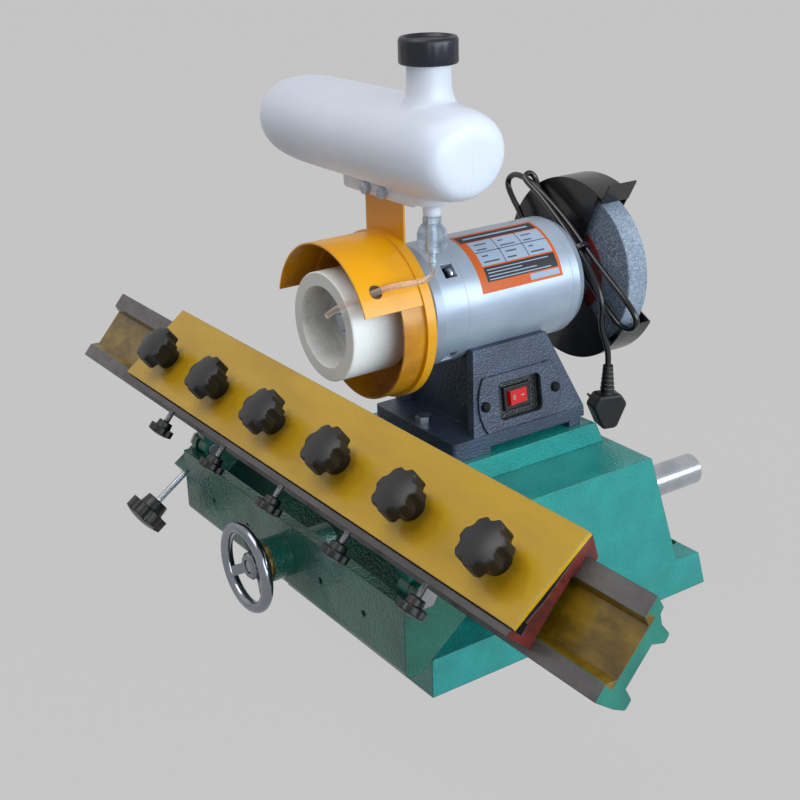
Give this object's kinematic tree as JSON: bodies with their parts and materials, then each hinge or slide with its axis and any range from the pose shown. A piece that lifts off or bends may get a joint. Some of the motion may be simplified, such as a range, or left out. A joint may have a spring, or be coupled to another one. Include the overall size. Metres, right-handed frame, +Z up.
{
  "type": "wet grinding sharpener",
  "caption": "Wet grinder for planer knives: a motor with cup and dry wheels on a hand-fed saddle, facing a tilting beam with a sliding knife carriage.",
  "frame": {"origin": "middle of the base's footprint on the bench, at the centre of its bolt pattern", "axes": "+X along the beam, -Y towards the operator, +Z up"},
  "size_m": [0.8, 0.4661, 0.541],
  "materials": {
    "hammered_green": "hammered enamel",
    "yellow_paint": "satin enamel, worn at the edges",
    "ground_iron": "ground, satin",
    "red_oxide": "red paint over cast iron",
    "steel": "machined",
    "chrome": "polished",
    "zinc": "zinc plated",
    "brass": "machined",
    "black_plastic": "moulded, satin",
    "slate_casting": "black-grey casting paint",
    "silver_paint": "silver, semi-gloss",
    "guard_yellow": "gloss enamel",
    "guard_black": "black, semi-gloss",
    "white_stone": "vitrified alumina",
    "grey_stone": "vitrified, open grain",
    "tank_plastic": "translucent white",
    "red_plastic": "lit red",
    "rubber": "flexible PVC",
    "clear_hose": "clear PVC",
    "copper_iron": "laminated core"
  },
  "bodies": {
    "base": {"base_casting": "hammered_green", "front_trough": "hammered_green", "guide_bars": "steel", "screw_bush": "brass", "pivot_bolts": "steel"},
    "feed_screw": {"lead_screw": "steel", "handwheel": "chrome"},
    "saddle": {"saddle_casting": "hammered_green", "slide_bracket": "hammered_green", "slide_bushes": "brass", "feed_nut": "brass", "pedestal": "slate_casting", "pedestal_bolts": "zinc", "capacitor": "black_plastic", "switch_cover": "slate_casting", "switch_bezel": "black_plastic", "motor_shell": "silver_paint", "bell_front": "silver_paint", "bell_rear": "silver_paint", "stator": "copper_iron", "bearings": "steel", "case_screws": "zinc", "guard_screws": "zinc", "wet_guard": "guard_yellow", "tank_bracket": "guard_yellow", "water_tank": "tank_plastic", "tank_bolts": "zinc", "cock_body": "zinc", "dry_guard": "guard_black", "spark_plate": "guard_black", "cord_gland": "rubber", "mains_cord": "rubber", "mains_plug": "black_plastic", "water_hose": "clear_hose"},
    "rotor": {"shaft": "steel", "rotor_core": "copper_iron", "cup_wheel": "white_stone", "dry_wheel": "grey_stone", "wheel_flanges": "zinc", "spindle_nuts": "zinc"},
    "switch_rocker": {"switch_rocker": "red_plastic"},
    "cock_handle": {"cock_handle": "zinc"},
    "tank_cap": {"tank_cap": "black_plastic"},
    "beam": {"beam": "hammered_green"},
    "tilt_screw": {"tilt_screw": "zinc"},
    "tilt_knob": {"tilt_knob": "black_plastic"},
    "carriage": {"carriage": "ground_iron", "clamp_studs": "zinc"},
    "clamp_plate": {"clamp_plate": "yellow_paint"},
    "star_knob_1": {"star_knob_1": "black_plastic"},
    "star_knob_2": {"star_knob_2": "black_plastic"},
    "star_knob_3": {"star_knob_3": "black_plastic"},
    "star_knob_4": {"star_knob_4": "black_plastic"},
    "star_knob_5": {"star_knob_5": "black_plastic"},
    "star_knob_6": {"star_knob_6": "black_plastic"},
    "push_screw_1": {"push_screw_1": "black_plastic"},
    "push_screw_2": {"push_screw_2": "black_plastic"},
    "push_screw_3": {"push_screw_3": "black_plastic"},
    "push_screw_4": {"push_screw_4": "black_plastic"},
    "push_screw_5": {"push_screw_5": "black_plastic"}
  },
  "joints": [
    {"name": "handwheel_turn", "type": "hinge", "parent": "base", "child": "feed_screw", "pos_m": [0, -0.269, 0.1085], "axis": [0, 1, 0], "range_deg": [-3602, 2402]},
    {"name": "saddle_feed", "type": "slide", "parent": "base", "child": "saddle", "axis": [0, 1, 0], "range_m": [-0.02, 0.03]},
    {"name": "spindle_spin", "type": "hinge", "parent": "saddle", "child": "rotor", "pos_m": [0, 0, 0.305], "axis": [0, 1, 0], "continuous": true},
    {"name": "switch_rock", "type": "hinge", "parent": "saddle", "child": "switch_rocker", "pos_m": [0.05101, -0.0175, 0.21921], "axis": [-0.157, 0, 0.9876], "range_deg": [-16, 0]},
    {"name": "cock_turn", "type": "hinge", "parent": "saddle", "child": "cock_handle", "pos_m": [0.072, -0.1205, 0.3852], "axis": [0, 0, 1], "range_deg": [0, 180]},
    {"name": "cap_lift", "type": "slide", "parent": "saddle", "child": "tank_cap", "axis": [0, 0, 1], "range_m": [0, 0.04]},
    {"name": "beam_tilt", "type": "hinge", "parent": "base", "child": "beam", "pos_m": [0, -0.2145, 0.147], "axis": [1, 0, 0], "range_deg": [-5, 12]},
    {"name": "tilt_screw_feed", "type": "slide", "parent": "base", "child": "tilt_screw", "axis": [0, 0.8211, 0.5707], "range_m": [-0.0016, 0.0038]},
    {"name": "tilt_knob_turn", "type": "hinge", "parent": "tilt_screw", "child": "tilt_knob", "pos_m": [-0.195, -0.2705, 0.085], "axis": [0, 0.8211, 0.5707], "range_deg": [-560, 1330]},
    {"name": "carriage_slide", "type": "slide", "parent": "beam", "child": "carriage", "axis": [1, 0, 0], "range_m": [-0.14, 0.06]},
    {"name": "plate_lift", "type": "slide", "parent": "carriage", "child": "clamp_plate", "axis": [0, -0.6046, 0.7965], "range_m": [0, 0.002]},
    {"name": "knob_1_turn", "type": "hinge", "parent": "clamp_plate", "child": "star_knob_1", "pos_m": [-0.211, -0.22664, 0.22566], "axis": [0, -0.6046, 0.7965], "range_deg": [0, 576]},
    {"name": "knob_2_turn", "type": "hinge", "parent": "clamp_plate", "child": "star_knob_2", "pos_m": [-0.111, -0.22664, 0.22566], "axis": [0, -0.6046, 0.7965], "range_deg": [0, 576]},
    {"name": "knob_3_turn", "type": "hinge", "parent": "clamp_plate", "child": "star_knob_3", "pos_m": [-0.011, -0.22664, 0.22566], "axis": [0, -0.6046, 0.7965], "range_deg": [0, 576]},
    {"name": "knob_4_turn", "type": "hinge", "parent": "clamp_plate", "child": "star_knob_4", "pos_m": [0.089, -0.22664, 0.22566], "axis": [0, -0.6046, 0.7965], "range_deg": [0, 576]},
    {"name": "knob_5_turn", "type": "hinge", "parent": "clamp_plate", "child": "star_knob_5", "pos_m": [0.189, -0.22664, 0.22566], "axis": [0, -0.6046, 0.7965], "range_deg": [0, 576]},
    {"name": "knob_6_turn", "type": "hinge", "parent": "clamp_plate", "child": "star_knob_6", "pos_m": [0.289, -0.22664, 0.22566], "axis": [0, -0.6046, 0.7965], "range_deg": [0, 576]},
    {"name": "push_1_feed", "type": "slide", "parent": "carriage", "child": "push_screw_1", "axis": [0, 0.6587, 0.7524], "range_m": [-0.005, 0.005]},
    {"name": "push_2_feed", "type": "slide", "parent": "carriage", "child": "push_screw_2", "axis": [0, 0.6587, 0.7524], "range_m": [-0.005, 0.005]},
    {"name": "push_3_feed", "type": "slide", "parent": "carriage", "child": "push_screw_3", "axis": [0, 0.6587, 0.7524], "range_m": [-0.005, 0.005]},
    {"name": "push_4_feed", "type": "slide", "parent": "carriage", "child": "push_screw_4", "axis": [0, 0.6587, 0.7524], "range_m": [-0.005, 0.005]},
    {"name": "push_5_feed", "type": "slide", "parent": "carriage", "child": "push_screw_5", "axis": [0, 0.6587, 0.7524], "range_m": [-0.005, 0.005]}
  ],
  "couplings": [
    {"joint": "handwheel_turn", "follows": "saddle_feed", "rad_per_m": -2094.4},
    {"joint": "tilt_screw_feed", "follows": "beam_tilt", "m_per_rad": 0.0175},
    {"joint": "tilt_knob_turn", "follows": "beam_tilt", "ratio": 109.96}
  ]
}
